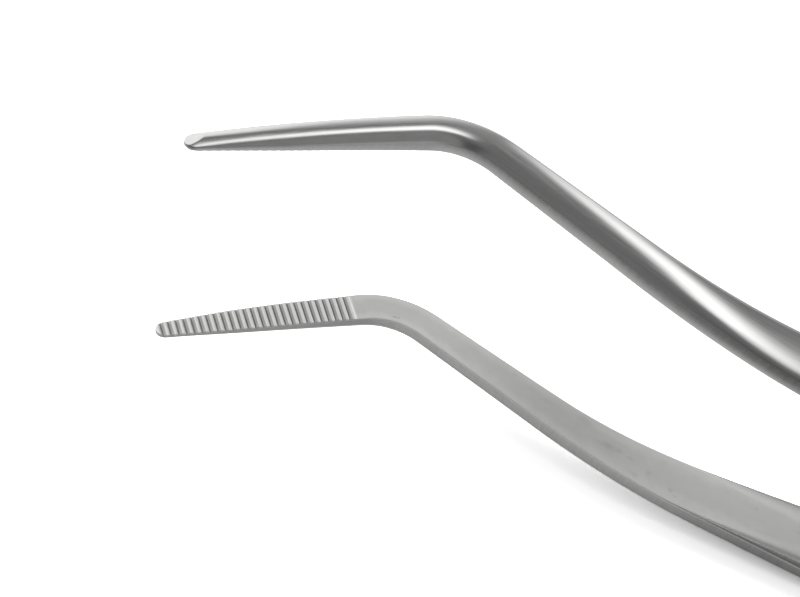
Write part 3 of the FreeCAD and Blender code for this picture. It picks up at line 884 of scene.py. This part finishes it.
class TWEEZERS_OT_arms(bpy.types.Operator):
    """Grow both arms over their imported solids"""

    bl_idname = "tweezers.arms"
    bl_label = "Forge Arms"

    def execute(self, context):
        scene = context.scene
        grooves = scene.tweezers_grooves
        line = ArmLine(scene)
        outline = section_outline()
        section_mesh = chain_mesh("section", ring_points(len(outline), 1.0), closed=True)
        for name, values in zip(OUTLINE_NAMES, zip(*outline)):
            store(section_mesh, name, values)
        section = bpy.data.objects.new("section", section_mesh)
        scene.collection.objects.link(section)
        tree = arm_tree()
        arms = {}
        for name, side in (("upper_arm", 1), ("lower_arm", -1)):
            stations = [line.station(place, side) for place in line.row_places(0.3 * MM)]
            source = chain_mesh(name + "_line", [station[0] for station in stations])
            store(source, "centre", [station[0] for station in stations])
            store(source, "across", [station[1] for station in stations])
            store(source, "out", [station[2] for station in stations])
            for measure in stations[0][3]:
                store(source, measure, [station[3][measure] for station in stations])
            arms[name] = grow("steel_" + name, source, tree, {
                "Section": section, "Material": steel_material(scene, "steel_" + name, side),
                "Serration start": grooves.serration_start, "Serration pitch": grooves.serration_pitch,
                "Serration count": line.serration_count, "Serration width": grooves.serration_width,
                "Serration depth": grooves.upper_depth if side > 0 else grooves.serration_depth,
                "Grip start": line.grip_start, "Grip pitch": grooves.grip_pitch,
                "Grip count": line.grip_count, "Grip width": grooves.grip_width,
                "Grip depth": grooves.grip_depth, "Facet height": grooves.facet_height,
                "Facet rise": tan(grooves.facet_slope) * cos(grooves.facet_turn),
                "Facet skew": tan(grooves.facet_slope) * sin(grooves.facet_turn) * side,
            })
        bpy.data.objects.remove(section)
        self.lay_down(scene, arms)
        for name, piece in arms.items():
            self.check_fit(piece, name)
            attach(piece, BODY)
            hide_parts(name)
        return {"FINISHED"}

    def lay_down(self, scene, arms):
        """Turn the arms as they lie, and set them where the solids are."""
        form = scene.tweezers_form
        turn = Matrix.Rotation(form.rest_tilt, 4, "Y") @ Matrix.Rotation(-form.rest_lean, 4, "X")
        lowest = Vector((min(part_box(name)[0][axis] for name in arms) for axis in range(3)))
        for piece in arms.values():
            piece.data.transform(turn)
        here = Vector((min(point.co[axis] for piece in arms.values() for point in piece.data.vertices)
                       for axis in range(3)))
        for piece in arms.values():
            piece.data.transform(Matrix.Translation(lowest - here))

    def check_fit(self, piece, name):
        """The piece fills its solid's box."""
        low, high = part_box(name)
        points = [point.co for point in piece.data.vertices]
        for axis in range(3):
            ends = [point[axis] for point in points]
            if abs(min(ends) - low[axis]) > FIT_LIMIT or abs(max(ends) - high[axis]) > FIT_LIMIT:
                raise RuntimeError(f"{piece.name} doesn't fill the box of {name} along axis {axis}: "
                                   f"{min(ends)} {low[axis]} {max(ends)} {high[axis]}")


# Stage


STAGE_STEPS = 96
TENT_RINGS = 24

# How the tent is lit: angles from straight overhead to the right or to the back, in degrees
WINDOW_RIGHT = (-32.0, 11.0)
WINDOW_BACK = (5.0, 35.0)
SIDE_RIGHT = (-60.0, -34.0)
SIDE_BACK = (-35.0, 0.0)
CORNER_RIGHT = (-18.0, 12.0)
CORNER_BACK = (-55.0, -15.0)
CORNER_DIM = 0.45
BEYOND_RIGHT = (22.0, 36.0)
BEYOND_GLOW = 0.35
STRIP_FRONT = (-18.0, 6.0)
STRIP_FAR = (30.0, 85.0)
STRIP_FAR_SHARE = 0.5
STRIP_BEND = (15.0, 90.0)
STRIP_SLANT = 1.3
STRIP_SLANT_RIGHT = 16.0

# Where the floor's front share gives way to the right one, along X in millimetres
FLOOR_RIGHT = (20.0, 60.0)


def empty_material(name):
    """Material whose node tree is empty."""
    material = bpy.data.materials.new(name)
    material.use_nodes = True
    material.node_tree.nodes.clear()
    return material


def end_in(tree, shader, kind="ShaderNodeOutputMaterial"):
    """Make a shader the surface of a tree's output."""
    tree.links.new(shader.outputs[0], tree.nodes.new(kind).inputs["Surface"])


def put_stage(name, mesh, material):
    """Object of the stage, which isn't part of the tweezers."""
    mesh.materials.append(material)
    made = bpy.data.objects.new(name, mesh)
    bpy.context.scene.collection.objects.link(made)
    return made


class TWEEZERS_OT_stage(bpy.types.Operator):
    """Set the floor, the light and the camera"""

    bl_idname = "tweezers.stage"
    bl_label = "Set Stage"

    def execute(self, context):
        scene = context.scene
        stage = scene.tweezers_stage
        self.set_camera(scene, stage)
        self.set_floor(stage)
        self.set_tent(stage)
        self.set_world(scene, stage)
        self.set_lamp(scene, stage)
        scene.view_settings.view_transform = "Standard"
        return {"FINISHED"}

    def set_camera(self, scene, stage):
        back = Vector((sin(stage.azimuth) * cos(stage.elevation), -cos(stage.azimuth) * cos(stage.elevation),
                       sin(stage.elevation)))
        level = Vector((0, 0, 1)).cross(back).normalized()
        upward = back.cross(level)
        right = level * cos(stage.roll) + upward * sin(stage.roll)
        up = back.cross(right)
        data = bpy.data.cameras.new("camera")
        data.lens = stage.focal_length
        data.clip_start = 1.0 * MM
        camera = bpy.data.objects.new("camera", data)
        camera.matrix_world = Matrix.Translation(Vector(stage.target) + back * stage.distance) @ Matrix(
            (right, up, back)).transposed().to_4x4()
        scene.collection.objects.link(camera)
        scene.camera = camera

    def set_floor(self, stage):
        """Round white floor, which keeps the shadow. In reflections it is bright only near the tweezers, and
        below the handle it has painted shade.
        """
        mesh = bpy.data.meshes.new("floor")
        mesh.from_pydata(ring_points(STAGE_STEPS, stage.floor_radius), [], [tuple(range(STAGE_STEPS))])
        material = empty_material("white_floor")
        tree = material.node_tree
        path = node(tree, "ShaderNodeLightPath").outputs
        place = node(tree, "ShaderNodeTexCoord").outputs["Object"]
        parts = node(tree, "ShaderNodeSeparateXYZ", {0: place}).outputs
        # Painted shade, seen only in reflections: the floor dims in front, less so to the right, and below
        # the handle where the tweezers' shadow falls
        share = fade_over(tree, parts["X"], FLOOR_RIGHT, MM, stage.front_share, stage.right_share)
        reflected_grey = times(tree, fade(tree, parts["Y"], stage.front_dim, stage.front_bright, share, 1.0),
                       fade(tree, parts["X"], stage.end_bright, stage.end_dim, stage.floor_colour,
                            stage.end_share * stage.floor_colour))
        grey = mixed(tree, path["Is Glossy Ray"], stage.floor_colour, reflected_grey)
        grey = mixed(tree, path["Is Camera Ray"], grey, stage.floor_white)
        end_in(tree, node(tree, "ShaderNodeBsdfDiffuse", {"Color": grey}))
        put_stage("floor", mesh, material)

    def set_tent(self, stage):
        """Grey tent that only reflections show, with a bright strip overhead and a bright left rear side."""
        mesh = bpy.data.meshes.new("tent")
        rings, steps = TENT_RINGS, STAGE_STEPS
        points = []
        for ring in range(rings):
            rise = pi / 2 * ring / rings
            points += ring_points(steps, cos(rise), sin(rise))
        faces = [(ring * steps + i, ring * steps + (i + 1) % steps, (ring + 1) * steps + (i + 1) % steps,
                  (ring + 1) * steps + i) for ring in range(rings - 1) for i in range(steps)]
        faces.append(tuple((rings - 1) * steps + i for i in range(steps)))
        mesh.from_pydata([Vector(point) * stage.tent_radius for point in points], [], faces)
        material = empty_material("grey_tent")
        tree = material.node_tree
        end_in(tree, node(tree, "ShaderNodeEmission", {"Strength": self.tent_brightness(tree, stage)}))
        tent = put_stage("tent", mesh, material)
        tent.visible_camera = False
        tent.visible_diffuse = False
        tent.visible_shadow = False

    def tent_brightness(self, tree, stage):
        """Brightness of the tent, by the angles to the right and to the back from straight overhead."""
        place = node(tree, "ShaderNodeTexCoord").outputs["Object"]
        ray = node(tree, "ShaderNodeVectorMath", {0: place}, operation="NORMALIZE").outputs[0]
        parts = node(tree, "ShaderNodeSeparateXYZ", {0: ray}).outputs
        level = node(tree, "ShaderNodeCombineXYZ", {"X": parts["X"], "Y": parts["Y"]}).outputs[0]
        spread = node(tree, "ShaderNodeVectorMath", {0: level}, operation="LENGTH").outputs["Value"]
        spread = maths(tree, "MAXIMUM", spread, 0.001)
        turn = maths(tree, "DIVIDE", maths(tree, "ARCCOSINE", parts["Z"]), spread)
        right = times(tree, turn, parts["X"])
        back = times(tree, turn, parts["Y"])

        window = times(tree, fade_over(tree, back, WINDOW_BACK, DEGREE),
                       fade_over(tree, right, WINDOW_RIGHT, DEGREE, stage.window_light, 0.0))
        side = times(tree, fade_over(tree, back, SIDE_BACK, DEGREE),
                     fade_over(tree, right, SIDE_RIGHT, DEGREE, stage.side_light, 0.0))
        beyond = fade_over(tree, right, BEYOND_RIGHT, DEGREE)
        corner = times(tree, fade_over(tree, back, CORNER_BACK, DEGREE, 1.0, 0.0),
                       fade_over(tree, right, CORNER_RIGHT, DEGREE), maths(tree, "SUBTRACT", 1.0, beyond))

        centre = fade_over(tree, back, STRIP_BEND, DEGREE,
                           stage.strip_right, stage.strip_right - stage.strip_lean)
        beside = maths(tree, "ABSOLUTE", maths(tree, "SUBTRACT", right, centre))
        over = maths(tree, "MAXIMUM", maths(tree, "SUBTRACT", right, STRIP_SLANT_RIGHT * DEGREE), 0.0)
        over = maths(tree, "MULTIPLY_ADD", over, -STRIP_SLANT, back)
        strip = times(tree, fade(tree, beside, stage.strip_half - stage.strip_soft,
                                 stage.strip_half + stage.strip_soft, stage.strip_light, 0.0),
                      fade_over(tree, over, STRIP_FRONT, DEGREE),
                      fade_over(tree, back, STRIP_FAR, DEGREE, 1.0, STRIP_FAR_SHARE))

        light = maths(tree, "MULTIPLY_ADD", corner, -CORNER_DIM * stage.tent_light, stage.tent_light)
        light = maths(tree, "MULTIPLY_ADD", beyond, BEYOND_GLOW * stage.tent_light, light)
        light = maths(tree, "ADD", light, maths(tree, "MAXIMUM", window, side))
        return maths(tree, "ADD", light, strip)

    def set_world(self, scene, stage):
        """White room."""
        world = bpy.data.worlds.new("white_room")
        world.use_nodes = True
        tree = world.node_tree
        tree.nodes.clear()
        path = node(tree, "ShaderNodeLightPath").outputs
        seen = maths(tree, "MAXIMUM", maths(tree, "MAXIMUM", path["Is Camera Ray"], path["Is Glossy Ray"]),
                     path["Is Transmission Ray"])
        strength = node(tree, "ShaderNodeMapRange", {
            "Value": seen, "To Min": stage.room_light, "To Max": 1.0}).outputs[0]
        background = node(tree, "ShaderNodeBackground", {"Color": (1.0, 1.0, 1.0, 1.0), "Strength": strength})
        end_in(tree, background, "ShaderNodeOutputWorld")
        scene.world = world

    def set_lamp(self, scene, stage):
        """Square softbox above the right rear, which casts the soft shadow. The metal shows only the tent."""
        data = bpy.data.lights.new("softbox", "AREA")
        data.shape = "SQUARE"
        data.size = stage.lamp_size
        data.energy = stage.lamp_power
        lamp = bpy.data.objects.new("softbox", data)
        lamp.location = stage.lamp_direction
        lamp.rotation_euler = Vector(stage.lamp_direction).to_track_quat("Z", "Y").to_euler()
        lamp.visible_glossy = False
        scene.collection.objects.link(lamp)


class TWEEZERS_PT_panel(bpy.types.Panel):
    """Lists the steps that dress the tweezers"""

    bl_idname = "TWEEZERS_PT_panel"
    bl_label = "Tweezers"
    bl_space_type = "VIEW_3D"
    bl_region_type = "UI"
    bl_category = "Tweezers"

    def draw(self, context):
        layout = self.layout
        for operator in OPERATORS:
            layout.operator(operator.bl_idname)
        for group in SCENE_GROUPS:
            box = layout.box()
            box.label(text=group.replace("_", " ").capitalize())
            settings = getattr(context.scene, group)
            for name in settings.__annotations__:
                box.prop(settings, name)


OPERATORS = (TWEEZERS_OT_arms, TWEEZERS_OT_stage)
CLASSES = (*SCENE_GROUPS.values(), *OPERATORS, TWEEZERS_PT_panel)


def register():
    for cls in CLASSES:
        bpy.utils.register_class(cls)
    for name, group in SCENE_GROUPS.items():
        setattr(bpy.types.Scene, name, PointerProperty(type=group))


def unregister():
    for name in SCENE_GROUPS:
        delattr(bpy.types.Scene, name)
    for cls in reversed(CLASSES):
        bpy.utils.unregister_class(cls)


def main():
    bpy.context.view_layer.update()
    register()
    bpy.ops.tweezers.arms()
    bpy.ops.tweezers.stage()


if __name__ == "__main__":
    main()
